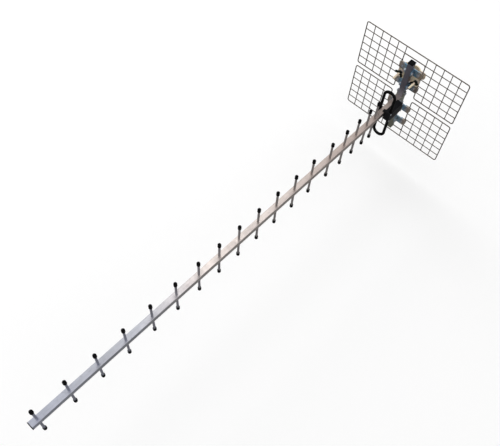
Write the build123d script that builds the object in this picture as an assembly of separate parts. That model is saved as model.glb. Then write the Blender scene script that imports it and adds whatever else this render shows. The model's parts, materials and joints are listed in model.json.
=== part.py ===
from build123d import *
import os

# Long directional antenna with a two-panel wire reflector, held on a mast by a clamp.
# Sizes are in millimetres. +X runs along the boom to its free front end, +Z runs up along
# the mast and the elements, and the origin is on the mast's axis, halfway up the clamp.

os.makedirs("parts", exist_ok=True)

# ---------------------------------------------------------------- driving dimensions
mast_radius = 16.0
clamp_height = 24.0
clamp_steel = 3.0
clamp_bolt_y = 26.0
clamp_bolt_radius = 3.0
bolt_slack = 0.05            # between a clamp bolt and its wing nut's hole
bolt_hole_slack = 0.3        # between a clamp bolt and the plates it runs through
clamp_ear_y = 35.0
base_lip_depth = 4.5         # the clamp base's lower edge is bent forward this far

tube_side = 16.0             # both the boom and the support tube are this square tube
tube_wall = 1.5
tube_edge_radius = 1.0
tube_half_length = 128.0

boom_z = -71.5               # the boom's axis lies this far from the clamp's middle
boom_reach = 1284.5          # from the support tube's axis to the boom's front end
element_drop = 5.0           # the elements' middles lie this far under the boom's axis

last_director_reach = 123.0  # from the support tube's axis to the nearest director
director_gaps = [36, 47, 52, 60, 75, 68, 69, 68, 68, 68, 68, 72, 75, 78, 78, 79, 83]
director_radius = 3.0
first_length = 137.5         # cap centre to cap centre, nearest the reflector
second_length = 133.5
front_length = 127.0
cap_radius = 4.6
cap_length = 12.5
cap_grip = 8.0

dipole_reach = 80.0
dipole_drop = 8.0            # the loop's middle lies this far under the boom's axis
dipole_near_y = -12.5
dipole_feed_y = 21.5
dipole_half_height = 84.5
dipole_metal_radius = 3.0
dipole_sleeve_radius = 4.4
dipole_gap = 6.0

housing_back_reach, housing_front_reach = 27.0, 89.5
housing_outer_y = 27.0
housing_top, housing_bottom = 14.0, -18.0    # from the boom's axis
housing_wall = 2.0
cover_thickness = 2.0
jack_reach, jack_y = 56.0, 18.0
jack_thread_radius = 4.76
jack_length = 12.0
jack_neck_radius = 4.0
jack_bore_radius = 3.0
jack_contact_radius = 1.0
jack_flange = 2.5

panel_half_width = 167.0
panel_inner_z, panel_outer_z = 7.5, 158.0    # from the boom's axis
panel_columns = 5                            # meshes from the side wire to the notch
panel_rows = 6
notch_half_width = 34.5
frame_wire_radius = 1.5
mesh_wire_radius = 1.25
frame_corner_radius = 6.0

plate_heights = {"upper_outer": 95.0, "upper_inner": 42.0,
                 "lower_inner": -42.0, "lower_outer": -95.0}
plate_half_width = 38.0
plate_half_height = 11.0
lug_thickness = 2.0
lug_reach = 6.0              # the lugs run this far past the support tube's axis
lug_half_height = 8.0
cross_bolt_radius = 3.0
cross_bolt_flats = 10.0
cross_bolt_head, cross_nut_height = 4.0, 5.0
wire_clip_bolt_y = 26.0
wire_clip_steel = 2.0
clip_bolt_radius = 2.5
clip_bolt_flats = 8.0
clip_bolt_head, clip_nut_height = 3.5, 4.0
bolt_overhang = 1.0          # a bolt's tip stands this far past its nut

joint_steel = 2.5
joint_arm_half_width, joint_arm_half_height = 7.0, 24.0
joint_leg_reach, joint_leg_half_height = 26.0, 7.0
joint_bolt_radius = 2.5
joint_bolt_flats = 8.0
joint_bolt_head, joint_nut_height = 3.5, 4.0

# ---------------------------------------------------------------- worked-out places
half_side = tube_side / 2
plate_back = mast_radius + clamp_steel
plate_front = plate_back + clamp_steel
tube_x = plate_front + half_side
boom_back = tube_x + half_side
boom_front = tube_x + boom_reach
last_director_x = tube_x + last_director_reach
dipole_x = tube_x + dipole_reach
dipole_z = boom_z - dipole_drop
housing_back = tube_x + housing_back_reach
housing_front = tube_x + housing_front_reach
jack_x = tube_x + jack_reach
clamp_bolt_front = tube_x + 27.0
element_z = boom_z - element_drop
panel_x = plate_back - frame_wire_radius
clip_rear = panel_x - frame_wire_radius - wire_clip_steel
seat_gap = 1.2                               # the washer between a nut and its plate
nut_back = plate_front + seat_gap


# ---------------------------------------------------------------- helpers
def block(x0, x1, y0, y1, z0, z1):
    """A box from its low and high corners."""
    middle = ((x0 + x1) / 2, (y0 + y1) / 2, (z0 + z1) / 2)
    return Pos(*middle) * Box(x1 - x0, y1 - y0, z1 - z0)


def rod(start, end, radius):
    """A round rod between two points."""
    run = Vector(*end) - Vector(*start)
    plane = Plane(origin=start, z_dir=run)
    return plane * Cylinder(radius, run.length, align=(Align.CENTER, Align.CENTER, Align.MIN))


def hexagon(start, end, across_flats):
    """A hexagonal prism between two points."""
    run = Vector(*end) - Vector(*start)
    plane = Plane(origin=start, z_dir=run)
    outline = plane * RegularPolygon(across_flats / 2, 6, major_radius=False)
    return extrude(outline, run.length, dir=run.normalized())


def hex_bolt(seat, tip, radius, across_flats, head_height):
    """A hexagon-head bolt whose head stands on the seat, away from the tip."""
    away = (Vector(*seat) - Vector(*tip)).normalized()
    head_end = Vector(*seat) + away * head_height
    body = rod(tip, seat, radius) + hexagon(seat, tuple(head_end), across_flats)
    return body


def hex_nut(start, end, across_flats, hole_radius):
    return hexagon(start, end, across_flats) - rod(start, end, hole_radius)


def pan_screw(seat, tip, radius, head_radius, head_height):
    """A round-headed screw with a cross recess."""
    away = (Vector(*seat) - Vector(*tip)).normalized()
    head_end = Vector(*seat) + away * head_height
    body = rod(tip, seat, radius) + rod(seat, tuple(head_end), head_radius)
    plane = Plane(origin=tuple(head_end), z_dir=-away)
    slot = Box(head_radius * 1.1, 0.7, 1.2) + Box(0.7, head_radius * 1.1, 1.2)
    return body - plane * slot


def swept(points, corner_radius, wire_radius):
    """A round wire bent along a flat open path."""
    path = FilletPolyline(*points, radius=corner_radius)
    section = Plane(origin=path @ 0, z_dir=path % 0) * Circle(wire_radius)
    return sweep(section, path=path)


def square_tube(axis, start, end, centre):
    """A hollow square tube along X or Z."""
    outer = half_side
    inner = half_side - tube_wall
    a, b = centre
    if axis == "X":
        body = block(start, end, a - outer, a + outer, b - outer, b + outer)
        body = fillet(body.edges().filter_by(Axis.X), tube_edge_radius)
        return body - block(start, end, a - inner, a + inner, b - inner, b + inner)
    body = block(a - outer, a + outer, b - outer, b + outer, start, end)
    body = fillet(body.edges().filter_by(Axis.Z), tube_edge_radius)
    return body - block(a - inner, a + inner, b - inner, b + inner, start, end)


def save(name, solids):
    """Writes one node, from a solid or a list of separate solids."""
    shape = Compound(children=list(solids)) if isinstance(solids, list) else solids
    export_step(shape, f"parts/{name}.step")


# ---------------------------------------------------------------- directors and their caps
director_x = [last_director_x]
for gap in director_gaps:
    director_x.append(director_x[-1] + gap)
director_count = len(director_x)


def cap_distance(index):
    """Cap centre to cap centre: the one by the dipole is longest, then an even taper."""
    if index == 0:
        return first_length
    share = (index - 1) / (director_count - 2)
    return second_length + (front_length - second_length) * share


def cap_overhang():
    """How far a rod's end runs past the middle of its cap."""
    return cap_grip - cap_length / 2


def director(index):
    half = cap_distance(index) / 2 + cap_overhang()
    x = director_x[index]
    return rod((x, 0, element_z - half), (x, 0, element_z + half), director_radius)


def director_cap(index, way):
    """A domed plastic cap, with a small collar at its mouth, pushed over a rod's end."""
    x = director_x[index]
    middle = element_z + way * cap_distance(index) / 2
    mouth = middle - way * cap_length / 2
    shoulder = middle + way * (cap_length / 2 - cap_radius)
    collar = mouth + way * 2.5
    body = rod((x, 0, mouth), (x, 0, shoulder), cap_radius - 0.6)
    body += rod((x, 0, mouth), (x, 0, collar), cap_radius)
    body += Pos(x, 0, shoulder) * Sphere(cap_radius)
    return body - rod((x, 0, mouth), (x, 0, mouth + way * cap_grip), director_radius)


# ---------------------------------------------------------------- boom
joint_bolt_x = [tube_x + 18.0]
clip_screw_z = boom_z + 3.5
housing_screw_x = [housing_back + 5.5, housing_front - 5.5]
housing_screw_radius = 1.6
dipole_clip_screw_radius = 1.8


def boom_tube():
    body = square_tube("X", boom_back, boom_front, (0, boom_z))
    for x in director_x:
        body -= rod((x, 0, boom_z - half_side - 1), (x, 0, boom_z + half_side + 1),
                    director_radius)
    for x in joint_bolt_x:
        body -= rod((x, -half_side - 1, boom_z), (x, half_side + 1, boom_z), joint_bolt_radius)
    for x in housing_screw_x:
        body -= rod((x, 4, boom_z), (x, half_side + 1, boom_z), housing_screw_radius)
    body -= rod((dipole_x, -half_side - 1, clip_screw_z), (dipole_x, -4, clip_screw_z),
                dipole_clip_screw_radius)
    return body


def tube_plug(flange_side, flange, insert):
    """A square end plug lying along +Z, its flange at the top."""
    inner = tube_side - 2 * tube_wall
    head = Pos(0, 0, flange / 2) * Box(flange_side, flange_side, flange)
    head = fillet(head.faces().sort_by(Axis.Z)[-1].edges(), min(1.2, flange * 0.45))
    foot = Pos(0, 0, -insert / 2) * Box(inner, inner, insert)
    hollow = Pos(0, 0, -insert / 2 - 1) * Box(inner - 3, inner - 3, insert - 2)
    return head + foot - hollow


# ---------------------------------------------------------------- support tube
base_screw_heights = [-6.0, 6.0]
base_screw_radius = 2.0


def all_plate_heights():
    return [boom_z + height for height in plate_heights.values()]


def support_tube():
    body = square_tube("Z", boom_z - tube_half_length, boom_z + tube_half_length, (tube_x, 0))
    for z in all_plate_heights():
        body -= rod((tube_x, -half_side - 1, z), (tube_x, half_side + 1, z), cross_bolt_radius)
    for z in base_screw_heights:
        body -= rod((plate_front - 1, 0, z), (plate_front + 3, 0, z), base_screw_radius)
    for z in joint_arm_heights:
        body -= rod((tube_x, -half_side - 1, z), (tube_x, half_side + 1, z), joint_bolt_radius)
    return body


# ---------------------------------------------------------------- plates behind the tube
def cross_plate(z):
    """A flat plate behind the support tube, with two lugs bent forward beside the tube."""
    plate = block(plate_back, plate_front, -plate_half_width, plate_half_width,
                  z - plate_half_height, z + plate_half_height)
    plate = fillet(plate.edges().filter_by(Axis.X), 3)
    for side in (-1, 1):
        near, far = sorted((side * half_side, side * (half_side + lug_thickness)))
        lug = block(plate_back, tube_x + lug_reach, near, far, z - lug_half_height,
                    z + lug_half_height)
        lug = fillet(lug.edges().filter_by(Axis.Y).group_by(Axis.X)[-1], 5)
        plate += lug
        y = side * wire_clip_bolt_y
        plate -= rod((plate_back - 1, y, z), (plate_front + 1, y, z), clip_bolt_radius)
    return plate - rod((tube_x, -20, z), (tube_x, 20, z), cross_bolt_radius)


def cross_bolt(z):
    seat = half_side + lug_thickness
    tip = -seat - cross_nut_height - bolt_overhang
    return hex_bolt((tube_x, seat, z), (tube_x, tip, z), cross_bolt_radius, cross_bolt_flats,
                    cross_bolt_head)


def cross_nut(z):
    seat = half_side + lug_thickness
    return hex_nut((tube_x, -seat, z), (tube_x, -seat - cross_nut_height, z),
                   cross_bolt_flats, cross_bolt_radius)


def wire_clip(z, side):
    """A small pressed plate that holds the reflector's wire against a cross plate."""
    inner, outer = wire_clip_bolt_y - 6, plate_half_width
    y0, y1 = sorted((side * inner, side * outer))
    plate = block(clip_rear, clip_rear + wire_clip_steel, y0, y1, z - 8, z + 8)
    plate = fillet(plate.edges().filter_by(Axis.X), 2)
    heel0, heel1 = sorted((side * inner, side * (inner + wire_clip_steel)))
    plate += block(clip_rear, plate_back, heel0, heel1, z - 6, z + 6)
    y = side * wire_clip_bolt_y
    return plate - rod((clip_rear - 1, y, z), (plate_back, y, z), clip_bolt_radius)


def clip_bolt(z, side):
    y = side * wire_clip_bolt_y
    tip = clip_rear - clip_nut_height - 2 * bolt_overhang
    return hex_bolt((plate_front, y, z), (tip, y, z), clip_bolt_radius, clip_bolt_flats,
                    clip_bolt_head)


def clip_nut(z, side):
    y = side * wire_clip_bolt_y
    return hex_nut((clip_rear, y, z), (clip_rear - clip_nut_height, y, z), clip_bolt_flats,
                   clip_bolt_radius)


# ---------------------------------------------------------------- reflector panels
def reflector_panel(way):
    """A welded wire panel with a notch for the support tube; way is +1 above, -1 below."""
    def z_at(row):
        step = (panel_outer_z - panel_inner_z) / panel_rows
        return boom_z + way * (panel_inner_z + row * step)

    low, top, notch_top = z_at(0), z_at(panel_rows), z_at(panel_rows - 1)
    width, notch = panel_half_width, notch_half_width
    pitch = (width - notch) / panel_columns
    upright_x = panel_x - 0.8                    # the uprights are welded behind the levels
    level_x = panel_x + 0.2
    body = None
    for side in (-1, 1):
        half = [(0, top), (width, top), (width, low), (notch, low), (notch, notch_top),
                (0, notch_top)]
        points = [(panel_x, side * y, z) for y, z in half]
        frame = swept(points, frame_corner_radius, frame_wire_radius)
        body = frame if body is None else body + frame
    wires = []
    for side in (-1, 1):
        for column in range(1, panel_columns):
            y = side * (width - column * pitch)
            wires.append(rod((upright_x, y, low), (upright_x, y, top), mesh_wire_radius))
        y = side * notch
        wires.append(rod((upright_x, y, notch_top - way * 8), (upright_x, y, top),
                         mesh_wire_radius))
        for row in range(1, panel_rows):
            start = notch - 4 if row == panel_rows - 1 else notch
            wires.append(rod((level_x, side * start, z_at(row)),
                             (level_x, side * width, z_at(row)), mesh_wire_radius))
    return body + wires


# ---------------------------------------------------------------- boom joint
joint_arm_heights = [boom_z - 17.0, boom_z + 17.0]


def joint_plate(side):
    """A T-shaped side plate that ties the boom's end to the support tube."""
    y0, y1 = sorted((side * half_side, side * (half_side + joint_steel)))
    arm = block(tube_x - joint_arm_half_width, tube_x + joint_arm_half_width, y0, y1,
                boom_z - joint_arm_half_height, boom_z + joint_arm_half_height)
    leg = block(tube_x, tube_x + joint_leg_reach, y0, y1, boom_z - joint_leg_half_height,
                boom_z + joint_leg_half_height)
    plate = arm + leg
    plate = fillet(plate.edges().filter_by(Axis.Y), 3)
    for z in joint_arm_heights:
        plate -= rod((tube_x, -20, z), (tube_x, 20, z), joint_bolt_radius)
    for x in joint_bolt_x:
        plate -= rod((x, -20, boom_z), (x, 20, boom_z), joint_bolt_radius)
    return plate


def joint_places():
    return ([(tube_x, z) for z in joint_arm_heights]
            + [(x, boom_z) for x in joint_bolt_x])


def joint_bolt(x, z):
    seat = half_side + joint_steel
    tip = -seat - joint_nut_height - bolt_overhang
    return hex_bolt((x, seat, z), (x, tip, z), joint_bolt_radius, joint_bolt_flats,
                    joint_bolt_head)


def joint_nut(x, z):
    seat = half_side + joint_steel
    return hex_nut((x, -seat, z), (x, -seat - joint_nut_height, z), joint_bolt_flats,
                   joint_bolt_radius)


# ---------------------------------------------------------------- folded dipole
def dipole_loop(radius, feed_top, feed_bottom):
    """A round bar from the feed point up, over, down beside the boom and back up."""
    bend = (dipole_feed_y - dipole_near_y) / 2
    high, low = dipole_z + dipole_half_height, dipole_z - dipole_half_height
    middle_y = (dipole_feed_y + dipole_near_y) / 2
    body = rod((dipole_x, dipole_near_y, low + bend), (dipole_x, dipole_near_y, high - bend),
               radius)
    body += rod((dipole_x, dipole_feed_y, feed_top), (dipole_x, dipole_feed_y, high - bend),
                radius)
    body += rod((dipole_x, dipole_feed_y, low + bend), (dipole_x, dipole_feed_y, feed_bottom),
                radius)
    for z, start in ((high - bend, 0), (low + bend, 180)):
        arc = Plane.YZ * CenterArc((middle_y, z), bend, start, 180)
        arc = Pos(dipole_x, 0, 0) * arc
        section = Plane(origin=arc @ 0, z_dir=arc % 0) * Circle(radius)
        body += sweep(section, path=arc)
    return body


terminal_heights = [dipole_z + 6.0, dipole_z - 6.0]
terminal_radius = 1.2
board_y0, board_y1 = 12.0, 13.6


def folded_dipole():
    body = dipole_loop(dipole_metal_radius, dipole_z + dipole_gap / 2,
                       dipole_z - dipole_gap / 2)
    for z in terminal_heights:
        body -= rod((dipole_x, board_y1, z), (dipole_x, dipole_feed_y, z), terminal_radius)
    return body


def dipole_sleeve():
    top, bottom = boom_z + housing_top, boom_z + housing_bottom
    return (dipole_loop(dipole_sleeve_radius, top, bottom)
            - dipole_loop(dipole_metal_radius, top - 1, bottom + 1))


def dipole_terminal(z):
    return rod((dipole_x, board_y0, z), (dipole_x, dipole_feed_y, z), terminal_radius)


def dipole_clip():
    """A plastic block that holds the loop's near bar against the boom's side."""
    body = block(dipole_x - 7.5, dipole_x + 7.5, dipole_near_y - 6.5, -half_side, boom_z - 7,
                 boom_z + 7)
    body = fillet(body.edges().filter_by(Axis.Z).group_by(Axis.Y)[0], 3)
    body -= rod((dipole_x, dipole_near_y, boom_z - 8), (dipole_x, dipole_near_y, boom_z + 8),
                dipole_sleeve_radius)
    return body


# ---------------------------------------------------------------- feed housing
cover_screw_inset = 3.4
cover_post_radius = 2.6
cover_screw_radius = 1.5
cover_screw_length = 9.0
pan_head_height = 1.6


def cover_screw_places():
    return [(x, boom_z + z)
            for x in (housing_back + cover_screw_inset, housing_front - cover_screw_inset)
            for z in (housing_top - cover_screw_inset, housing_bottom + cover_screw_inset)]


def feed_housing():
    """An open-sided plastic box beside the boom, with a lip over the boom's top."""
    top, bottom = boom_z + housing_top, boom_z + housing_bottom
    rim = housing_outer_y - cover_thickness
    wall = housing_wall
    body = block(housing_back, housing_front, half_side, rim, bottom, top)
    body = fillet(body.edges().filter_by(Axis.Y), 3)
    body -= block(housing_back + wall, housing_front - wall, half_side + wall, rim + 1,
                  bottom + wall, top - wall)
    for x, z in cover_screw_places():
        post = rod((x, half_side + wall, z), (x, rim, z), cover_post_radius)
        body += post & block(housing_back, housing_front, 0, rim, bottom, top)
    body += block(housing_front - 10, housing_front, 1, half_side + 1, boom_z + half_side,
                  boom_z + half_side + 2.5)
    body -= rod((dipole_x, dipole_feed_y, bottom - 1), (dipole_x, dipole_feed_y, bottom + 4),
                dipole_metal_radius)
    body -= rod((dipole_x, dipole_feed_y, top - 4), (dipole_x, dipole_feed_y, top + 1),
                dipole_metal_radius)
    body -= rod((jack_x, jack_y, bottom - 1), (jack_x, jack_y, bottom + 4), jack_neck_radius)
    for x, z in cover_screw_places():
        body -= rod((x, rim - 8, z), (x, rim, z), cover_screw_radius)
    for x in housing_screw_x:
        body -= rod((x, 0, boom_z), (x, rim, boom_z), housing_screw_radius)
    return body


def feed_cover():
    top, bottom = boom_z + housing_top, boom_z + housing_bottom
    plate = block(housing_back, housing_front, housing_outer_y - cover_thickness,
                  housing_outer_y, bottom, top)
    plate = fillet(plate.edges().filter_by(Axis.Y), 3)
    for x, z in cover_screw_places():
        plate -= rod((x, 0, z), (x, housing_outer_y + 1, z), cover_screw_radius)
    return plate


def cover_screw(x, z):
    tip = housing_outer_y - cover_screw_length
    return pan_screw((x, housing_outer_y, z), (x, tip, z), cover_screw_radius, 2.7,
                     pan_head_height)


def housing_screw(x):
    return pan_screw((x, half_side + housing_wall, boom_z), (x, 4.5, boom_z),
                     housing_screw_radius, 2.6, pan_head_height)


def clip_screw():
    return rod((dipole_x, -half_side, clip_screw_z), (dipole_x, -5, clip_screw_z),
               dipole_clip_screw_radius)


def balun_board():
    """The matching board between the jack and the loop's two ends."""
    board = block(housing_back + 11, dipole_x + 4, board_y0, board_y1,
                  boom_z + housing_bottom + 4, boom_z + housing_top - 4)
    for z in terminal_heights:
        board -= rod((dipole_x, 0, z), (dipole_x, 20, z), terminal_radius)
    return board


def jack_body():
    """A threaded coaxial jack that points down out of the housing."""
    seat = boom_z + housing_bottom
    body = rod((jack_x, jack_y, seat + 6), (jack_x, jack_y, seat), jack_neck_radius)
    body += hexagon((jack_x, jack_y, seat), (jack_x, jack_y, seat - jack_flange), 11)
    body += rod((jack_x, jack_y, seat - jack_flange), (jack_x, jack_y, seat - jack_length),
                jack_thread_radius)
    body -= rod((jack_x, jack_y, seat + 7), (jack_x, jack_y, seat - jack_length - 1),
                jack_bore_radius)
    return body


def jack_insulator():
    seat = boom_z + housing_bottom
    body = rod((jack_x, jack_y, seat + 6), (jack_x, jack_y, seat - jack_length + 5),
               jack_bore_radius)
    return body - rod((jack_x, jack_y, seat + 7), (jack_x, jack_y, seat - jack_length),
                      jack_contact_radius)


def jack_contact():
    seat = boom_z + housing_bottom
    body = rod((jack_x, jack_y, seat + 10), (jack_x, jack_y, seat - jack_length + 1.5),
               jack_contact_radius)
    return body - rod((jack_x, jack_y, seat - jack_length + 6),
                      (jack_x, jack_y, seat - jack_length), 0.5)


# ---------------------------------------------------------------- mast clamp
sin_60 = 0.8660254


def strap_arc(way):
    """The part of a clamp strap that lies on the mast; way is +1 in front, -1 behind."""
    radius = mast_radius + clamp_steel
    ring = Cylinder(radius, clamp_height) - Cylinder(mast_radius, clamp_height)
    reach = radius * 2
    wedge_half = reach * sin_60 * 2
    wedge = Polyline((0, 0), (way * reach, wedge_half), (way * reach, -wedge_half), close=True)
    wedge = extrude(make_face(wedge), clamp_height, both=True)
    return ring & wedge


arc_end_y = mast_radius * sin_60      # the straps wrap 60 degrees to each side
arc_end_x = mast_radius / 2
base_lip_thickness = 2.5
base_screw_head_radius = 3.8


def clamp_base():
    """The plate between the support tube and the mast, its lower edge bent into a lip."""
    low, high = -clamp_height / 2, clamp_height / 2
    plate = block(plate_back, plate_front, -clamp_ear_y, clamp_ear_y, low, high)
    plate = fillet(plate.edges().filter_by(Axis.X).group_by(Axis.Z)[-1], 8)
    for side in (-1, 1):
        y0, y1 = sorted((side * (half_side + 1.5), side * (clamp_ear_y - 1)))
        lip = block(plate_back + 0.5, plate_front + base_lip_depth, y0, y1, low,
                    low + base_lip_thickness)
        lip = fillet(lip.edges().filter_by(Axis.Z).group_by(Axis.X)[-1], 2)
        plate += lip
        y = side * clamp_bolt_y
        plate -= rod((plate_back - 1, y, 0), (plate_front + 1, y, 0),
                     clamp_bolt_radius + bolt_hole_slack)
    for z in base_screw_heights:
        plate -= countersunk_shape(z)
    return plate


def countersunk_shape(z):
    depth = base_screw_head_radius - base_screw_radius
    head = Cone(base_screw_head_radius, base_screw_radius, depth,
                align=(Align.CENTER, Align.CENTER, Align.MIN))
    head = Pos(plate_back, 0, z) * (Rot(0, 90, 0) * head)
    return head + rod((plate_back + depth, 0, z), (plate_front + 4, 0, z), base_screw_radius)


def base_screw(z):
    """A countersunk screw through the base into the support tube's rear wall."""
    slot_length = base_screw_head_radius * 1.2
    slot = Box(2.0, slot_length, 0.8) + Box(2.0, 0.8, slot_length)
    return countersunk_shape(z) - Pos(plate_back, 0, z) * slot


def mast_saddle():
    """The curved strap in front of the mast, on two legs that stand on the base plate."""
    body = strap_arc(1)
    for side in (-1, 1):
        y0, y1 = sorted((side * (arc_end_y + 0.3), side * (arc_end_y + 2.6)))
        body += block(arc_end_x + 1, plate_back, y0, y1, -clamp_height / 2, clamp_height / 2)
    return body


def rear_jaw():
    """The strap behind the mast, with an ear for a bolt on each side."""
    body = strap_arc(-1)
    rear = -arc_end_x - clamp_steel
    for side in (-1, 1):
        y0, y1 = sorted((side * (arc_end_y + 0.8), side * clamp_ear_y))
        ear = block(rear, -arc_end_x, y0, y1, -clamp_height / 2, clamp_height / 2)
        corners = ear.edges().filter_by(Axis.X).group_by(Axis.Y)[-1 if side > 0 else 0]
        ear = fillet(corners, 8)
        y = side * clamp_bolt_y
        ear -= block(rear - 1, -arc_end_x + 1, y - clamp_bolt_radius, y + clamp_bolt_radius,
                     -clamp_bolt_radius, clamp_bolt_radius)
        body += ear
    return body


bolt_dome_radius = 7.5
bolt_dome_height = 3.0
washer_radius = 6.2


def carriage_bolt(side):
    """A round-headed bolt with a square neck held in the rear jaw's ear."""
    y = side * clamp_bolt_y
    rear = -arc_end_x - clamp_steel
    body = rod((-arc_end_x, y, 0), (clamp_bolt_front, y, 0), clamp_bolt_radius - bolt_slack)
    body += block(rear, -arc_end_x, y - clamp_bolt_radius, y + clamp_bolt_radius,
                  -clamp_bolt_radius, clamp_bolt_radius)
    cut = Pos(-bolt_dome_radius, 0, 0) * Box(bolt_dome_height * 2, 40, 40)
    dome = Sphere(bolt_dome_radius) & cut
    return body + Pos(rear + bolt_dome_radius - bolt_dome_height, y, 0) * dome


def clamp_washer(side):
    y = side * clamp_bolt_y
    disc = rod((plate_front, y, 0), (nut_back, y, 0), washer_radius)
    return disc - rod((plate_front, y, 0), (nut_back, y, 0), clamp_bolt_radius + bolt_hole_slack)


wing_reach = 13.5
wing_lean = 20.0             # degrees each nut is turned from level
hub_radius, hub_height = 5.0, 6.5


def wing_nut(side):
    """A hub with two rounded wings that lean forward."""
    upright = (Align.CENTER, Align.CENTER, Align.MIN)
    hub = Cylinder(hub_radius, hub_height, align=upright)
    hub += Pos(0, 0, hub_height) * Cone(hub_radius, 4.2, 1.5, align=upright)
    outline = Polyline((3.4, 1.2), (5.6, 1.2), (wing_reach - 0.8, 6.5), (wing_reach - 0.8, 13.0),
                       (8.6, 13.0), (4.2, 7.6), (3.4, 7.0), close=True)
    wing = extrude(Plane.XZ * make_face(outline), 1.3, both=True)
    wing = fillet(wing.edges().filter_by(Axis.Y).group_by(Axis.X)[-1], 1.8)
    nut = hub + wing + Rot(0, 0, 180) * wing
    nut -= Cylinder(clamp_bolt_radius, 40)
    turned = Rot(0, 90, 0) * (Rot(0, 0, 90 + side * wing_lean) * nut)
    return Pos(nut_back, side * clamp_bolt_y, 0) * turned


# ---------------------------------------------------------------- write every node
for index in range(director_count):
    save(f"director_{index + 1:02d}", director(director_count - 1 - index))
save("director_caps_upper", [director_cap(index, 1) for index in range(director_count)])
save("director_caps_lower", [director_cap(index, -1) for index in range(director_count)])

save("boom_tube", boom_tube())
save("boom_front_plug", Pos(boom_front, 0, boom_z) * (Rot(0, 90, 0)
                                                      * tube_plug(tube_side, 2.0, 12.0)))
save("support_tube", support_tube())
save("support_tube_cap", Pos(tube_x, 0, boom_z + tube_half_length)
     * tube_plug(tube_side + 1, 4.0, 12.0))

for name, height in plate_heights.items():
    save(f"cross_plate_{name}", cross_plate(boom_z + height))
corners = [(boom_z + height, side) for height in plate_heights.values() for side in (-1, 1)]
save("cross_bolts", [cross_bolt(z) for z in all_plate_heights()])
save("cross_nuts", [cross_nut(z) for z in all_plate_heights()])
save("wire_clips", [wire_clip(z, side) for z, side in corners])
save("clip_bolts", [clip_bolt(z, side) for z, side in corners])
save("clip_nuts", [clip_nut(z, side) for z, side in corners])
save("reflector_panel_upper", reflector_panel(1))
save("reflector_panel_lower", reflector_panel(-1))

save("joint_plate_left", joint_plate(-1))
save("joint_plate_right", joint_plate(1))
save("joint_bolts", [joint_bolt(x, z) for x, z in joint_places()])
save("joint_nuts", [joint_nut(x, z) for x, z in joint_places()])

save("folded_dipole", folded_dipole())
save("dipole_sleeve", dipole_sleeve())
save("dipole_terminals", [dipole_terminal(z) for z in terminal_heights])
save("dipole_clip", dipole_clip())
save("dipole_clip_screw", clip_screw())
save("feed_housing", feed_housing())
save("feed_cover", feed_cover())
save("cover_screws", [cover_screw(x, z) for x, z in cover_screw_places()])
save("housing_screws", [housing_screw(x) for x in housing_screw_x])
save("balun_board", balun_board())
save("jack_body", jack_body())
save("jack_insulator", jack_insulator())
save("jack_contact", jack_contact())

save("clamp_base", clamp_base())
save("base_screws", [base_screw(z) for z in base_screw_heights])
save("mast_saddle", mast_saddle())
save("rear_jaw", rear_jaw())
save("carriage_bolts", [carriage_bolt(side) for side in (-1, 1)])
save("clamp_washers", [clamp_washer(side) for side in (-1, 1)])
save("wing_nut_left", wing_nut(-1))
save("wing_nut_right", wing_nut(1))
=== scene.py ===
import json
import math

import bmesh
import bpy
from mathutils import Matrix, Vector, noise


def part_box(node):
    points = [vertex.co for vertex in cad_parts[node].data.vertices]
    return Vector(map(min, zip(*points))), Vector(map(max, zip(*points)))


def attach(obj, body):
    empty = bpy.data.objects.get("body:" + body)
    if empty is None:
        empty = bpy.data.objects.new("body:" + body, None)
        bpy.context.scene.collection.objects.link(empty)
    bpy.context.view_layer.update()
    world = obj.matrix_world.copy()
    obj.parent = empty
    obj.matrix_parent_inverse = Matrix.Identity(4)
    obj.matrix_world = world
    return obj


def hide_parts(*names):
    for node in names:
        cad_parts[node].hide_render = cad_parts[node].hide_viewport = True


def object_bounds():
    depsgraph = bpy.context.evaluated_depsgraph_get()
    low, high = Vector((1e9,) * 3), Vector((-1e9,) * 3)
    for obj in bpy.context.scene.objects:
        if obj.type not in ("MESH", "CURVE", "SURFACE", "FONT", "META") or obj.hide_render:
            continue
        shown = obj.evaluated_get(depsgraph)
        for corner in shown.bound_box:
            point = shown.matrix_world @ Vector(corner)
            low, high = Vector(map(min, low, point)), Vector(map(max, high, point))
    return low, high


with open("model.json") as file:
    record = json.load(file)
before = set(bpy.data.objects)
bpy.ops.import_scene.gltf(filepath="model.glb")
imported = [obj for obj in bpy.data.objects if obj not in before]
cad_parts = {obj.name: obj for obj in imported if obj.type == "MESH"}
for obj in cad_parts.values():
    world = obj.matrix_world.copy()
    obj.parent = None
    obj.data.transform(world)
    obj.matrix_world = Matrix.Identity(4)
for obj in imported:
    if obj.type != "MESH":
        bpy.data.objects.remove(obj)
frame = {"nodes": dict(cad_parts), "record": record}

# The looks of a long directional antenna with a two-panel wire reflector and a mast clamp.
# Everything is in metres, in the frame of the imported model; pieces are built in millimetres.

MM = 0.001
cad_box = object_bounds()
nodes = frame["nodes"]


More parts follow.
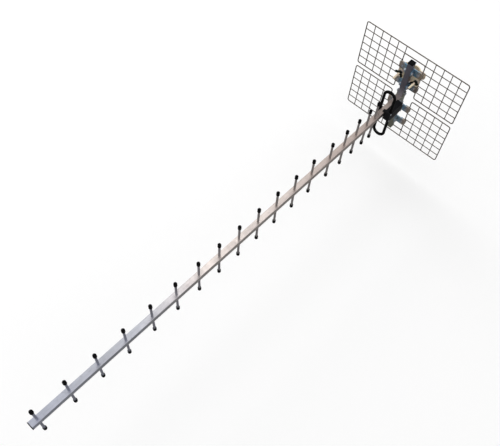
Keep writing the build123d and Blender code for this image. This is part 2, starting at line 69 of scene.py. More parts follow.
# ------------------------------------------------------------------ procedural finishes
class Finish:
    """A Principled material whose colour, roughness and bump come from layered noise."""

    def __init__(self, name, base, metallic, roughness, specular=0.5):
        self.material = bpy.data.materials.new(name)
        self.material.use_nodes = True
        self.tree = self.material.node_tree
        self.tree.nodes.clear()
        self.shader = self.node("ShaderNodeBsdfPrincipled")
        output = self.node("ShaderNodeOutputMaterial")
        self.link(self.shader.outputs["BSDF"], output.inputs["Surface"])
        self.shader.inputs["Metallic"].default_value = metallic
        self.shader.inputs["Roughness"].default_value = roughness
        self.shader.inputs["Specular IOR Level"].default_value = specular
        self.shader.inputs["Base Color"].default_value = (*base, 1)
        self.colour = base
        self.colour_socket = None
        self.height = None
        self.place = self.node("ShaderNodeTexCoord").outputs["Object"]

    def node(self, kind):
        return self.tree.nodes.new(kind)

    def link(self, start, end):
        self.tree.links.new(start, end)

    def stretched(self, stretch):
        """Object coordinates squeezed along the axes where stretch is below one."""
        mapping = self.node("ShaderNodeMapping")
        mapping.inputs["Scale"].default_value = stretch
        self.link(self.place, mapping.inputs["Vector"])
        return mapping.outputs["Vector"]

    def noise(self, size_mm, detail=3.0, stretch=(1, 1, 1), distortion=0.0):
        texture = self.node("ShaderNodeTexNoise")
        texture.inputs["Scale"].default_value = 1 / (size_mm * MM)
        texture.inputs["Detail"].default_value = detail
        texture.inputs["Distortion"].default_value = distortion
        self.link(self.stretched(stretch), texture.inputs["Vector"])
        return texture.outputs["Fac"]

    def cells(self, size_mm, stretch=(1, 1, 1)):
        texture = self.node("ShaderNodeTexVoronoi")
        texture.inputs["Scale"].default_value = 1 / (size_mm * MM)
        self.link(self.stretched(stretch), texture.inputs["Vector"])
        return texture.outputs["Distance"]

    def position(self, axis):
        """The object coordinate along one axis, in metres."""
        split = self.node("ShaderNodeSeparateXYZ")
        self.link(self.place, split.inputs["Vector"])
        return split.outputs[axis]

    def maths(self, operation, first, second=None):
        step = self.node("ShaderNodeMath")
        step.operation = operation
        for socket, value in zip(step.inputs, (first, second)):
            if value is None:
                continue
            if isinstance(value, (int, float)):
                socket.default_value = value
            else:
                self.link(value, socket)
        return step.outputs["Value"]

    def spread(self, value, low, high, to_low=0.0, to_high=1.0):
        """Maps a noise value's middle stretch to a chosen range."""
        scale = self.node("ShaderNodeMapRange")
        scale.inputs["From Min"].default_value = low
        scale.inputs["From Max"].default_value = high
        scale.inputs["To Min"].default_value = to_low
        scale.inputs["To Max"].default_value = to_high
        self.link(value, scale.inputs["Value"])
        return scale.outputs["Result"]

    def tint(self, value, colour, way="MIX"):
        """Blends the colour so far towards another one where the value is high."""
        mix = self.node("ShaderNodeMix")
        mix.data_type = "RGBA"
        mix.blend_type = way
        mix.clamp_result = True
        self.link(value, mix.inputs["Factor"])
        first, second = [socket for socket in mix.inputs if socket.type == "RGBA"]
        first.default_value = (*self.colour, 1)
        second.default_value = (*colour, 1)
        if self.colour_socket is not None:
            self.link(self.colour_socket, first)
        self.colour_socket = [socket for socket in mix.outputs if socket.type == "RGBA"][0]
        self.link(self.colour_socket, self.shader.inputs["Base Color"])
        return self

    def wash(self, value, low, high, amount, factor):
        """Darkens or lightens the colour so far, keeping its hue."""
        return self.tint(self.spread(value, low, high, 0.0, amount), (factor,) * 3, "MULTIPLY")

    def gloss(self, value, low, high):
        """Roughness that follows a noise value."""
        self.link(self.spread(value, 0.3, 0.7, low, high), self.shader.inputs["Roughness"])
        return self

    def relief(self, value, depth_mm, strength=1.0):
        """Adds one more layer of bump."""
        bump = self.node("ShaderNodeBump")
        bump.inputs["Strength"].default_value = strength
        bump.inputs["Distance"].default_value = depth_mm * MM
        self.link(value, bump.inputs["Height"])
        if self.height is not None:
            self.link(self.height, bump.inputs["Normal"])
        self.height = bump.outputs["Normal"]
        self.link(self.height, self.shader.inputs["Normal"])
        return self


def shade(colour, factor):
    """A colour made lighter or darker, kept within range."""
    return tuple(min(1.0, c * factor) for c in colour)


def drawn_metal(name, base, along, rough=(0.28, 0.45), painted_light_drifts=()):
    """Drawn or extruded metal, with fine lines along one axis and dull handling marks.

    Each drift is (axis, from, to, colour): painted light or shade, the colour it turns to between
    two places, in metres.
    """
    long_way = [1.0, 1.0, 1.0]
    long_way["XYZ".index(along)] = 0.02
    finish = Finish(name, base, 1.0, sum(rough) / 2)
    # Painted light and shade: colour that changes with place along an axis.
    for axis, start, end, colour in painted_light_drifts:
        finish.tint(finish.spread(finish.position(axis), start, end), colour)
    lines = finish.noise(0.35, 2.0, tuple(long_way))
    bands = finish.noise(2.4, 2.0, tuple(long_way))
    stains = finish.noise(9, 5.0, distortion=0.6)
    finish.wash(lines, 0.35, 0.70, 0.6, 0.75)
    finish.wash(bands, 0.45, 0.70, 0.5, 0.86)
    finish.wash(finish.noise(38, 4.0), 0.40, 0.75, 0.6, 0.80)
    finish.wash(stains, 0.58, 0.80, 0.6, 0.62)
    finish.gloss(finish.noise(14, 4.0), *rough)
    finish.relief(lines, 0.05, 0.5)
    finish.relief(stains, 0.02, 0.3)
    return finish.material


def plated_steel(name, base, bloom, rough=(0.25, 0.5), metallic=1.0, ends=None):
    """Zinc plate with a passivated colour that drifts over the surface.

    ends is the duller colour the plate turns to towards both ends, away from the middle plane.
    """
    finish = Finish(name, base, metallic, sum(rough) / 2)
    drift = finish.noise(16, 3.0, distortion=1.2)
    grain = finish.noise(1.2, 4.0)
    finish.tint(finish.spread(drift, 0.38, 0.66, 0.0, 0.85), bloom)
    if ends:
        away = finish.maths("ABSOLUTE", finish.position("Y"))
        wander_m, ends_from_m, ends_to_m = 0.014, 0.027, 0.037
        wander = finish.maths("MULTIPLY", finish.noise(7, 3.0, distortion=0.8), wander_m)
        finish.tint(finish.spread(finish.maths("ADD", away, wander), ends_from_m, ends_to_m), ends)
    finish.wash(grain, 0.50, 0.80, 0.6, 0.60)
    finish.wash(finish.cells(3.0), 0.35, 0.80, 0.5, 0.78)
    finish.gloss(finish.noise(5, 4.0), *rough)
    finish.relief(grain, 0.03, 0.5)
    return finish.material


def moulded_plastic(name, base, rough=(0.35, 0.6), grain_mm=0.35, grain_depth=0.03,
                    specular=0.12):
    """Moulded plastic, with a fine spark-eroded grain and paler rub marks."""
    finish = Finish(name, base, 0.0, sum(rough) / 2, specular)
    grain = finish.cells(grain_mm)
    rubs = finish.noise(6, 6.0, distortion=1.5)
    finish.tint(finish.spread(finish.noise(25, 2.0), 0.35, 0.70, 0.0, 0.6), shade(base, 1.8))
    finish.tint(finish.spread(rubs, 0.60, 0.82, 0.0, 0.35), shade(base, 5.0))
    finish.gloss(finish.noise(4, 4.0), *rough)
    finish.relief(grain, grain_depth, 0.6)
    finish.relief(rubs, 0.02, 0.3)
    return finish.material


boom_height = (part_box("boom_tube")[0].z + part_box("boom_tube")[1].z) / 2
# Painted light on the boom: paler from the middle on where a highlight falls, then painted shade,
# darker and bluish, towards the tip.
boom_painted_light = (("X", 0.30, 0.62, (0.60, 0.54, 0.51)), ("X", 0.80, 1.02, (0.50, 0.51, 0.56)),
               ("X", 1.10, 1.30, (0.54, 0.56, 0.65)))
# Painted shade on the rods: darker and bluish towards the tip.
rod_painted_shade = (("X", 0.60, 1.10, (0.42, 0.43, 0.52)),)
# Painted light and shade on the support tube: paler and bluish from just above the boom downwards,
# olive-dark further down.
tube_painted_light_and_shade = (("Z", boom_height + 0.042, boom_height + 0.014, (0.40, 0.41, 0.47)),
               ("Z", boom_height - 0.070, boom_height - 0.095, (0.27, 0.27, 0.22)))
finishes = {
    "boom_alloy": drawn_metal("boom_alloy_with_painted_light", (0.58, 0.49, 0.45), "X", painted_light_drifts=boom_painted_light),
    "tube_alloy": drawn_metal("tube_alloy_with_painted_light_and_shade", (0.22, 0.21, 0.25), "Z", (0.38, 0.55),
                              tube_painted_light_and_shade),
    "rod_alloy": drawn_metal("rod_alloy_with_painted_shade", (0.46, 0.43, 0.42), "Z", (0.30, 0.50),
                             rod_painted_shade),
    "joint_alloy": drawn_metal("joint_alloy_finish", (0.34, 0.34, 0.29), "Z", (0.40, 0.55)),
    "loop_alloy": drawn_metal("loop_alloy_finish", (0.70, 0.70, 0.72), "Z"),
    "grid_wire": plated_steel("grid_wire_finish", (0.20, 0.17, 0.145), (0.155, 0.135, 0.12),
                              (0.40, 0.60)),
    "blue_zinc": plated_steel("blue_zinc_finish", (0.19, 0.37, 0.55), (0.44, 0.50, 0.50),
                              (0.28, 0.50), 0.9, ends=(0.43, 0.37, 0.32)),
    "plain_zinc": plated_steel("plain_zinc_finish", (0.46, 0.47, 0.50), (0.38, 0.42, 0.50),
                               (0.35, 0.55)),
    "yellow_zinc": plated_steel("yellow_zinc_finish", (0.92, 0.82, 0.58), (0.84, 0.66, 0.58),
                                (0.30, 0.50), 0.45),
    "terminal_brass": plated_steel("terminal_brass_finish", (0.78, 0.58, 0.26),
                                   (0.70, 0.50, 0.22)),
    "jack_nickel": plated_steel("jack_nickel_finish", (0.66, 0.64, 0.60), (0.72, 0.70, 0.66),
                                (0.18, 0.32)),
    "cap_plastic": moulded_plastic("cap_plastic_finish", (0.002, 0.002, 0.0025), (0.35, 0.55),
                                   specular=0.05),
    "sleeve_plastic": moulded_plastic("sleeve_plastic_finish", (0.002, 0.002, 0.0022),
                                      (0.35, 0.50), specular=0.06),
    "housing_plastic": moulded_plastic("housing_plastic_finish", (0.004, 0.004, 0.005),
                                       (0.40, 0.60)),
    "wing_plastic": moulded_plastic("wing_plastic_finish", (0.004, 0.006, 0.004)),
    "jack_white": moulded_plastic("jack_white_finish", (0.80, 0.80, 0.77), (0.40, 0.60),
                                  specular=0.4),
    "board_laminate": moulded_plastic("board_laminate_finish", (0.03, 0.16, 0.07),
                                      (0.25, 0.40), specular=0.5),
}

slot_of = {row["node"]: row["material_slot"] for row in frame["record"]["subparts"]}
for name, node in nodes.items():
    node.data.materials.clear()
    node.data.materials.append(finishes[slot_of[name]])


# ------------------------------------------------------------------ mesh building
def across(axis):
    """Two unit vectors at right angles to an axis."""
    axis = Vector(axis).normalized()
    helper = Vector((0, 0, 1)) if abs(axis.z) < 0.9 else Vector((1, 0, 0))
    side = axis.cross(helper).normalized()
    return side, axis.cross(side).normalized()


class Shape:
    """Gathers closed skins, in millimetres, and turns them into one visible piece."""

    def __init__(self):
        self.points = []
        self.faces = []

    def skin(self, rings, loop=False):
        """Joins rings of equal length; the ends are closed unless the rings form a loop."""
        start, count = len(self.points), len(rings[0])
        for ring in rings:
            self.points.extend(Vector(point) for point in ring)
        for i in range(len(rings) if loop else len(rings) - 1):
            a = start + i * count
            b = start + ((i + 1) % len(rings)) * count
            for j in range(count):
                k = (j + 1) % count
                self.faces.append((a + j, a + k, b + k, b + j))
        if not loop:
            self.faces.append(tuple(reversed(range(start, start + count))))
            end = start + (len(rings) - 1) * count
            self.faces.append(tuple(range(end, end + count)))

    def turned(self, origin, axis, profile, segments=40, loop=False, reshape=None):
        """Spins (distance, radius) pairs about an axis; reshape may alter each radius."""
        origin, axis = Vector(origin), Vector(axis).normalized()
        u, v = across(axis)
        rings = []
        for distance, radius in profile:
            ring = []
            for j in range(segments):
                angle = 2 * math.pi * j / segments
                r = reshape(angle, distance, radius) if reshape else radius
                outward = u * math.cos(angle) + v * math.sin(angle)
                ring.append(origin + axis * distance + outward * r)
            rings.append(ring)
        self.skin(rings, loop)

    def along(self, path, radius, segments=14, closed=False, bore=None):
        """Sweeps a circle along points that lie in a plane of constant X."""
        sideways = Vector((1, 0, 0))
        rings, bores = [], []
        for i, point in enumerate(path):
            if closed:
                before, after = path[i - 1], path[(i + 1) % len(path)]
            else:
                before, after = path[max(i - 1, 0)], path[min(i + 1, len(path) - 1)]
            normal = (Vector(after) - Vector(before)).normalized().cross(sideways).normalized()
            r = radius(i) if callable(radius) else radius
            outward = [sideways * math.cos(a) + normal * math.sin(a)
                       for a in (2 * math.pi * j / segments for j in range(segments))]
            rings.append([Vector(point) + way * r for way in outward])
            if bore:
                bores.append([Vector(point) + way * bore for way in outward])
        self.skin(rings + bores[::-1], loop=closed or bool(bores))

    def slab(self, outline, origin, axes, thickness, edge):
        """A flat shape with eased edges, from an outline in the plane of the two axes."""
        origin = Vector(origin)
        first, second = (Vector(axis) for axis in axes)
        out = first.cross(second).normalized()
        middle = sum((Vector(p) for p in outline), Vector((0, 0))) / len(outline)
        half = thickness / 2
        rings = []
        for depth, inset in ((-half, edge), (-half + edge * 0.3, edge * 0.3), (-half + edge, 0),
                             (half - edge, 0), (half - edge * 0.3, edge * 0.3), (half, edge)):
            ring = []
            for point in outline:
                offset = Vector(point) - middle
                place = middle + offset * (1 - inset / max(offset.length, 0.01))
                ring.append(origin + first * place.x + second * place.y + out * depth)
            rings.append(ring)
        self.skin(rings)

    def piece(self, name, body, slot, replaced=(), sharp_angle=35, fuse=None):
        """Makes the object, lets it ride on its body and hides the nodes it stands for."""
        mesh = bpy.data.meshes.new(name)
        mesh.from_pydata([point * MM for point in self.points], [], self.faces)
        tidy_normals(mesh, sharp_angle)
        result = bpy.data.objects.new(name, mesh)
        bpy.context.scene.collection.objects.link(result)
        if fuse:
            fused(result, fuse)
        result.data.materials.append(finishes[slot])
        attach(result, body)
        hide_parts(*replaced)
        return result


def tidy_normals(mesh, sharp_angle):
    """Joins doubled points, turns the faces outward and shades all but sharp edges smooth."""
    same_place = 1e-7
    build = bmesh.new()
    build.from_mesh(mesh)
    bmesh.ops.remove_doubles(build, verts=build.verts, dist=same_place)
    bmesh.ops.recalc_face_normals(build, faces=build.faces)
    for face in build.faces:
        face.smooth = True
    for edge in build.edges:
        if edge.calc_face_angle(0.0) > math.radians(sharp_angle):
            edge.smooth = False
    build.to_mesh(mesh)
    build.free()


def fused(piece, voxel_mm):
    """Melts a piece's overlapping skins into one, with soft fillets where they meet."""
    remesh = piece.modifiers.new("melt", "REMESH")
    remesh.mode = "VOXEL"
    remesh.voxel_size = voxel_mm * MM
    soften = piece.modifiers.new("soften", "SMOOTH")
    soften.factor = 0.5
    soften.iterations = 4
    bpy.context.view_layer.update()
    seen = piece.evaluated_get(bpy.context.evaluated_depsgraph_get())
    mesh = bpy.data.meshes.new_from_object(seen)
    piece.modifiers.clear()
    piece.data = mesh
    mesh.materials.clear()
    for polygon in mesh.polygons:
        polygon.use_smooth = True


def hexagonal(across_flats):
    """Keeps a turned radius inside a hexagon."""
    def reshape(angle, distance, radius):
        part = (angle + math.pi / 6) % (math.pi / 3) - math.pi / 6
        return min(radius, across_flats / 2 / math.cos(part))
    return reshape


def add_head(shape, seat, axis, across_flats, height):
    """A hexagon bolt head on a washer face, with its top corners turned off."""
    flat = across_flats / 2
    corner = flat / math.cos(math.pi / 6)
    profile = [(0, flat * 0.96), (0.3, flat * 0.96), (0.31, corner), (height - 0.8, corner),
               (height - 0.35, (corner + flat) / 2), (height, flat * 0.92),
               (height, flat * 0.60), (height - 0.2, flat * 0.50)]
    shape.turned(seat, axis, profile, 48, reshape=hexagonal(across_flats))


def add_nut(shape, seat, axis, across_flats, height, bore):
    """A hexagon nut with both faces turned off and an eased bore."""
    flat = across_flats / 2
    corner = flat / math.cos(math.pi / 6)
    profile = [(0.35, bore), (0, bore + 0.35), (0, flat * 0.92), (0.6, corner),
               (height - 0.6, corner), (height, flat * 0.92), (height, bore + 0.35),
               (height - 0.35, bore)]
    shape.turned(seat, axis, profile, 48, loop=True, reshape=hexagonal(across_flats))


def add_thread(shape, start, axis, length, radius, pitch, bore=None):
    """A shank whose skin is one helical thread that fades out at both ends."""
    depth = pitch * 0.42

    def helix(angle, distance, r):
        if r < radius:
            return r
        phase = (distance / pitch - angle / (2 * math.pi)) % 1.0
        fade = min(1.0, distance / pitch, (length - distance) / pitch)
        groove = depth * (1 - abs(2 * phase - 1))
        return radius - depth + fade * (depth - groove)

    steps = round(length / pitch * 6)
    profile = [(length * i / steps, radius) for i in range(steps + 1)]
    if bore:
        profile += [(length, bore), (0, bore)]
        shape.turned(start, axis, profile, 36, loop=True, reshape=helix)
    else:
        shape.turned(start, axis, profile + [(length + 0.2, radius * 0.55)], 24, reshape=helix)


def add_bolt(shape, seat, axis, reach, radius, pitch, head, threaded):
    """A hexagon bolt: head is (across flats, height), reach runs from the seat to the tip."""
    seat, axis = Vector(seat), Vector(axis).normalized()
    add_head(shape, seat, -axis, *head)
    plain = reach - threaded
    shape.turned(seat - axis * 0.5, axis, [(0, radius * 0.99), (plain + 0.6, radius * 0.99)], 24)
    add_thread(shape, seat + axis * plain, axis, threaded - 0.2, radius * 0.985, pitch)


def box_mm(name):
    """A node's lowest and highest corners, in millimetres."""
    low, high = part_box(name)
    return Vector(low) / MM, Vector(high) / MM


def middle_mm(name):
    """The middle of a node's box, in millimetres."""
    low, high = box_mm(name)
    return (low + high) / 2


def rounded(points, radius, closed=False, steps=6):
    """Replaces each corner of a path in the YZ plane by an arc."""
    path = []
    for i, point in enumerate(points):
        point = Vector(point)
        if not closed and i in (0, len(points) - 1):
            path.append(point)
            continue
        before = (Vector(points[i - 1]) - point).normalized()
        after = (Vector(points[(i + 1) % len(points)]) - point).normalized()
        turn = before.angle(after)
        reach = radius / math.tan(turn / 2)
        centre = point + (before + after).normalized() * radius / math.sin(turn / 2)
        first = (point + before * reach - centre).normalized()
        last = (point + after * reach - centre).normalized()
        for step in range(steps + 1):
            path.append(centre + first.slerp(last, step / steps) * radius)
    return path


# ------------------------------------------------------------------ rods' end caps
cap_radius, cap_length, cap_grip, rod_radius = 4.6, 12.5, 8.0, 3.0
rods = sorted(name for name in nodes if name.startswith("director_") and name[-2:].isdigit())


def cap_profile():
    """From the bore's bottom, out round the mouth and collar, over the dome to its top."""
    waist, shoulder = cap_radius - 0.6, cap_length - cap_radius
    profile = [(cap_grip, 0.3), (cap_grip, rod_radius + 0.02), (0.4, rod_radius + 0.02),
               (0, rod_radius + 0.4), (0, cap_radius - 0.3), (0.3, cap_radius),
               (2.1, cap_radius), (2.6, cap_radius - 0.25), (2.9, waist), (4.6, waist)]
    for degrees in range(-25, 86, 7):
        angle = math.radians(degrees)
        profile.append((shoulder + cap_radius * math.sin(angle), cap_radius * math.cos(angle)))
    return profile + [(cap_length - 0.25, 0.3)]


def with_seam(angle, distance, radius):
    """The mould's parting line, a fine raised ridge down both sides."""
    near = angle % math.pi < 0.01
    return radius + 0.07 if near and radius > rod_radius + 0.5 else radius


def build_caps(name, way, replaced):
    shape = Shape()
    for rod in rods:
        low, high = box_mm(rod)
        end = high.z if way > 0 else low.z
        origin = ((low.x + high.x) / 2, 0, end - way * cap_grip)
        shape.turned(origin, (0, 0, way), cap_profile(), reshape=with_seam)
    shape.piece(name, "antenna", "cap_plastic", [replaced])


build_caps("upper_rod_caps", 1, "director_caps_upper")
build_caps("lower_rod_caps", -1, "director_caps_lower")


# ------------------------------------------------------------------ reflector panels
frame_wire, mesh_wire = 1.5, 1.25
notch_half_width = 34.5
panel_columns, panel_rows = 5, 6
frame_corner = 6.0
upright_set_back, level_set_forward = 0.8, 0.2    # from the frame wire's axis
stub_length, level_overrun = 8, 4                 # at the notch's end


def build_panel(name, way, replaced):
    """Round wires on a bent frame wire, with a pressed weld at every crossing."""
    low, high = box_mm(replaced)
    x = high.x - frame_wire
    width = high.y - frame_wire
    inner, outer = (low.z, high.z) if way > 0 else (high.z, low.z)
    inner, outer = inner + way * frame_wire, outer - way * frame_wire
    levels = [inner + (outer - inner) * row / panel_rows for row in range(panel_rows + 1)]
    pitch = (width - notch_half_width) / panel_columns
    notch_top = levels[-2]
    corners = [(x, -width, outer), (x, width, outer), (x, width, inner),
               (x, notch_half_width, inner), (x, notch_half_width, notch_top),
               (x, -notch_half_width, notch_top), (x, -notch_half_width, inner),
               (x, -width, inner)]
    shape = Shape()
    shape.along(rounded(corners, frame_corner, closed=True), frame_wire, 16, closed=True)
    upright_x, level_x = x - upright_set_back, x + level_set_forward

    def wire(start, end, seed):
        """One straight wire, very slightly wavy, with cropped ends."""
        start, end = Vector(start), Vector(end)
        count, sway_mm = 9, 0.12
        path = []
        for i in range(count + 1):
            sway = noise.noise(Vector((seed * 7.3, i * 0.9, 0))) * sway_mm
            path.append(start.lerp(end, i / count) + Vector((sway, 0, 0)))
        ends = (0, count)
        shape.along(path, lambda i: mesh_wire * (0.96 if i in ends else 1), 12)

    def weld(y, z):
        """The flattened bead where two wires are pressed together."""
        bead = [(0.1, 0.3), (0.5, 1.35), (1.2, 1.85), (1.9, 1.4), (2.5, 0.3)]
        shape.turned((x - frame_wire, y, z), (1, 0, 0), bead, 12)

    for side in (-1, 1):
        uprights = [side * (width - column * pitch) for column in range(1, panel_columns)]
        for number, y in enumerate(uprights):
            wire((upright_x, y, inner), (upright_x, y, outer), number + side * 10)
            for z in levels:
                weld(y, z)
        y = side * notch_half_width
        wire((upright_x, y, notch_top - way * stub_length), (upright_x, y, outer), side * 31)
        weld(y, outer)
        weld(y, notch_top)
        for row in range(1, panel_rows):
            start = notch_half_width - (level_overrun if row == panel_rows - 1 else 0)
            wire((level_x, side * start, levels[row]), (level_x, side * width, levels[row]),
                 row + side * 50)
            weld(side * notch_half_width, levels[row])
            weld(side * (width - 0.3), levels[row])
    shape.piece(name, "antenna", "grid_wire", [replaced])


build_panel("upper_wire_panel", 1, "reflector_panel_upper")
build_panel("lower_wire_panel", -1, "reflector_panel_lower")


# ------------------------------------------------------------------ folded dipole's sleeve
sleeve_radius, sleeve_bore = 4.4, 3.02


def build_sleeve():
    """A shrunk sleeve that follows the loop, thinner and faintly rippled in the bends."""
    low, high = box_mm("dipole_sleeve")
    housing_low, housing_high = box_mm("feed_housing")
    x = (low.x + high.x) / 2
    near, feed = low.y + sleeve_radius, high.y - sleeve_radius
    bottom, top = low.z + sleeve_radius, high.z - sleeve_radius
    bend = (feed - near) / 2
    corners = [(x, feed, housing_high.z), (x, feed, top), (x, near, top), (x, near, bottom),
               (x, feed, bottom), (x, feed, housing_low.z)]
    coarse = rounded(corners, bend - 0.01, steps=26)
    shortest, step_mm = 0.5, 2.5
    path = [coarse[0]]
    for point in coarse[1:]:
        start = path[-1]
        gap = (point - start).length
        if gap < shortest:
            continue
        parts = max(1, round(gap / step_mm))
        path += [start.lerp(point, part / parts) for part in range(1, parts + 1)]

    def radius(i):
        bent = path[i].z > top - bend or path[i].z < bottom + bend
        ripple = noise.noise(path[i] * (0.55 if bent else 0.12)) * (0.12 if bent else 0.05)
        return sleeve_radius - 0.13 + ripple

    shape = Shape()
    shape.along(path, radius, 24, bore=sleeve_bore)
    shape.piece("dipole_shrink_sleeve", "antenna", "sleeve_plastic", ["dipole_sleeve"])


build_sleeve()


# ------------------------------------------------------------------ bolts and nuts
tube_x = middle_mm("support_tube").x
boom_z = middle_mm("boom_tube").z
plates = [name for name in nodes if name.startswith("cross_plate_")]
plate_heights = [middle_mm(name).z for name in sorted(plates)]
plate_front = 22.0
clip_back = 14.0          # the rear face of the pressed clips
clip_bolt_y = 26.0
lug_face, joint_face = 10.0, 10.5             # outer faces, from the tubes' middle
joint_places = [(tube_x, boom_z - 17), (tube_x, boom_z + 17), (tube_x + 18, boom_z)]
bore_play = 0.02
# Each size: shank radius, pitch, across the flats, head height, nut height.
large, small = (3.0, 1.0, 10, 4, 5), (2.5, 0.8, 8, 3.5, 4)


def build_fasteners(name, size, axis, reach, threaded, rows):
    """Bolts and their nuts; each row is a bolt's seat and its nut's seat."""
    radius, pitch, flats, head_height, nut_height = size
    bolts, nuts = Shape(), Shape()
    for bolt_seat, nut_seat in rows:
        add_bolt(bolts, bolt_seat, axis, reach, radius, pitch, (flats, head_height), threaded)
        add_nut(nuts, nut_seat, axis, flats, nut_height, radius + bore_play)
    bolts.piece(f"{name}_bolt_set", "antenna", "plain_zinc", [f"{name}_bolts"])
    nuts.piece(f"{name}_nut_set", "antenna", "plain_zinc", [f"{name}_nuts"])


build_fasteners("cross", large, (0, -1, 0), 26, 12,
                [((tube_x, lug_face, z), (tube_x, -lug_face, z)) for z in plate_heights])
build_fasteners("clip", small, (-1, 0, 0), 14, 11,
                [((plate_front, y, z), (clip_back, y, z))
                 for z in plate_heights for y in (-clip_bolt_y, clip_bolt_y)])
build_fasteners("joint", small, (0, -1, 0), 26, 10,
                [((x, joint_face, z), (x, -joint_face, z)) for x, z in joint_places])


# ------------------------------------------------------------------ mast clamp
clamp_bolt_y = 26.0
clamp_pitch = 1.0         # the wing nuts turn once for each millimetre that the jaw slides
nut_back = 23.2
wing_lean = 20            # degrees each wing nut is turned from level


def build_carriage_bolts():
    """Domed heads on square necks, with a long thread that the wing nuts run on."""
    low, high = box_mm("carriage_bolts")
    dome_height, dome_radius, neck, neck_length = 3.0, 7.5, 2.94, 3.0
    plain, shank_radius, thread_start = 19.0, 2.9, 18.5
    rear = low.x + dome_height
    dome = [(0, 5.9), (0.25, 6.0)]
    for degrees in range(40, 88, 6):
        angle = math.radians(degrees)
        distance = dome_radius * math.sin(angle) - dome_radius + dome_height
        if distance >= 0:
            dome.append((distance, dome_radius * math.cos(angle)))
    square = [(-1, -0.85), (-0.85, -1), (0.85, -1), (1, -0.85), (1, 0.85), (0.85, 1),
              (-0.85, 1), (-1, 0.85)]
    shape = Shape()
    for y in (-clamp_bolt_y, clamp_bolt_y):
        shape.turned((rear, y, 0), (-1, 0, 0), dome)
        shape.skin([[(x, y + a * neck, b * neck) for a, b in square]
                    for x in (rear - 0.2, rear + neck_length)])
        shape.turned((rear, y, 0), (1, 0, 0), [(0, shank_radius), (plain, shank_radius)], 24)
        length = high.x - rear - thread_start - 0.2
        add_thread(shape, (rear + thread_start, y, 0), (1, 0, 0), length, neck, clamp_pitch)
    shape.piece("long_clamp_bolts", "clamp_jaw", "yellow_zinc", ["carriage_bolts"])


def softened(outline, times=2):
    """Cuts an outline's corners so that it reads as moulded."""
    for _ in range(times):
        cut = []
        for i, point in enumerate(outline):
            after = outline[(i + 1) % len(outline)]
            cut.append(tuple(0.75 * a + 0.25 * b for a, b in zip(point, after)))
            cut.append(tuple(0.25 * a + 0.75 * b for a, b in zip(point, after)))
        outline = cut
    return outline


def build_wing_nut(name, side, body, replaced):
    """A fluted hub and two leaning wings, melted together as one moulding."""
    def fluted(angle, distance, radius):
        return radius + 0.2 * math.cos(10 * angle) if 1.0 < distance < 6.2 else radius

    y = side * clamp_bolt_y
    shape = Shape()
    hub = [(0.3, 3.3), (0, 3.7), (0, 4.7), (0.4, 5.0), (1.2, 4.8), (3.5, 4.7), (6.0, 4.7),
           (6.6, 4.9), (8.0, 4.2), (8.0, 3.6), (7.6, 3.3)]
    shape.turned((nut_back, y, 0), (1, 0, 0), hub, 60, loop=True, reshape=fluted)
    turn = math.radians(90 + side * wing_lean)
    outward = Vector((0, math.sin(turn), -math.cos(turn)))
    wing = [(3.7, 1.4), (5.8, 1.3), (9.4, 3.6), (13.3, 6.2), (13.7, 9.5), (13.3, 13.2),
            (11.0, 13.4), (8.4, 13.0), (6.4, 10.0), (4.4, 7.6), (3.7, 7.2)]
    for way in (-1, 1):
        shape.slab(softened(wing), (nut_back, y, 0), (outward * way, (1, 0, 0)), 2.5, 0.8)
        grip = softened([(8.6, 7.0), (11.6, 8.4), (11.6, 11.4), (9.4, 11.0)])
        shape.slab(grip, (nut_back, y, 0), (outward * way, (1, 0, 0)), 3.1, 0.7)
    shape.piece(name, body, "wing_plastic", [replaced], fuse=0.32)


build_carriage_bolts()
build_wing_nut("left_wing_nut", -1, "left_nut", "wing_nut_left")
build_wing_nut("right_wing_nut", 1, "right_nut", "wing_nut_right")


# ------------------------------------------------------------------ coaxial jack
def build_jack():
    """A hexagon collar, a fine-threaded barrel and the neck that holds them in the housing."""
    low, high = box_mm("jack_body")
    x, y = middle_mm("jack_body").x, middle_mm("jack_body").y
    bore, neck, flats, collar = 3.02, 3.98, 11, 2.5
    seat = high.z - 6.0
    barrel_top = seat - collar + 0.1
    down = (0, 0, -1)
    shape = Shape()
    shape.turned((x, y, seat - 0.1), (0, 0, 1),
                 [(0, bore), (0, neck), (5.7, neck), (6.1, 3.7), (6.1, bore)], loop=True)
    add_nut(shape, (x, y, seat), down, flats, collar, bore)
    add_thread(shape, (x, y, barrel_top), down, barrel_top - low.z, 4.74, 0.8, bore)
    shape.piece("jack_barrel", "antenna", "jack_nickel", ["jack_body"])


build_jack()


# ------------------------------------------------------------------ camera, floor and light
def add_camera():
    """The photograph's viewpoint, worked out from the object's proportions."""
    data = bpy.data.cameras.new("camera")
    data.sensor_width = 36.0
    data.lens = 46.99
    data.clip_end = 100
    right = Vector((-0.68406, 0.72786, 0.04776))
    down = Vector((0.60647, 0.60390, -0.51720))
    forward = Vector((-0.40529, -0.32483, -0.85453))
    turn = Matrix((right, -down, -forward)).transposed().to_4x4()
    camera = bpy.data.objects.new("camera", data)
    camera.matrix_world = Matrix.Translation((1.2971, 0.5115, 1.3109)) @ turn
    bpy.context.scene.collection.objects.link(camera)
    bpy.context.scene.camera = camera


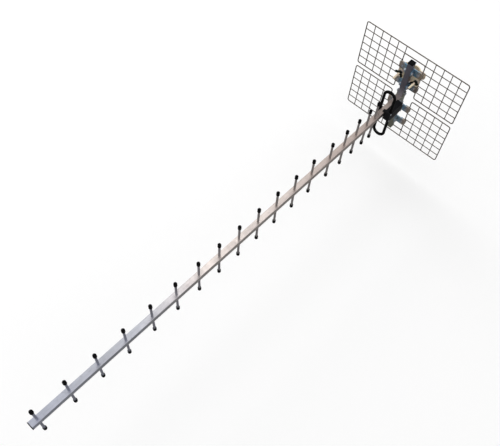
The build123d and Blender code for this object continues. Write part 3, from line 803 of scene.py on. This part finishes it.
def add_floor():
    """A plain pale floor, a little below the antenna's lowest edge."""
    mesh = bpy.data.meshes.new("floor")
    half, gap = 8.0, 0.12
    height = cad_box[0].z - gap
    corners = [(x * half, y * half, height) for x, y in ((-1, -1), (1, -1), (1, 1), (-1, 1))]
    mesh.from_pydata(corners, [], [(0, 1, 2, 3)])
    floor = bpy.data.objects.new("floor", mesh)
    bpy.context.scene.collection.objects.link(floor)
    finish = Finish("floor_finish", (0.97, 0.97, 0.97), 0.0, 0.9, specular=0.1)
    mesh.materials.append(finish.material)
    floor.visible_diffuse = False
    floor.visible_glossy = False


def add_light(name, place, target, size, power):
    """A square soft light that faces its target."""
    data = bpy.data.lights.new(name, "AREA")
    data.shape = "SQUARE"
    data.size = size
    data.energy = power
    light = bpy.data.objects.new(name, data)
    light.location = place
    light.rotation_mode = "QUATERNION"
    light.rotation_quaternion = (Vector(target) - Vector(place)).to_track_quat("-Z", "Y")
    bpy.context.scene.collection.objects.link(light)


add_camera()
add_floor()
middle = (cad_box[0] + cad_box[1]) / 2
add_light("key_light", (-0.6, -1.6, 3.4), (0.6, 0, 0), 1.5, 13)
add_light("side_light", (-0.6, -3.6, 2.2), middle, 2.2, 40)
add_light("fill_light", (2.6, 2.6, 2.6), middle, 3.0, 12)


def add_world(above, below, blend=0.35):
    """An even pale sky over a darker room, which meet softly at the horizon."""
    world = bpy.data.worlds.new("studio")
    world.use_nodes = True
    tree = world.node_tree
    place = tree.nodes.new("ShaderNodeTexCoord")
    split = tree.nodes.new("ShaderNodeSeparateXYZ")
    scale = tree.nodes.new("ShaderNodeMapRange")
    scale.interpolation_type = "SMOOTHSTEP"
    scale.inputs["From Min"].default_value = -blend
    scale.inputs["From Max"].default_value = blend
    scale.inputs["To Min"].default_value = below
    scale.inputs["To Max"].default_value = above
    tree.links.new(place.outputs["Generated"], split.inputs["Vector"])
    tree.links.new(split.outputs["Z"], scale.inputs["Value"])
    tree.links.new(scale.outputs["Result"], tree.nodes["Background"].inputs["Strength"])
    tree.nodes["Background"].inputs["Color"].default_value = (1, 1, 1, 1)
    bpy.context.scene.world = world


add_world(0.85, 0.30)
bpy.context.scene.view_settings.view_transform = "Standard"
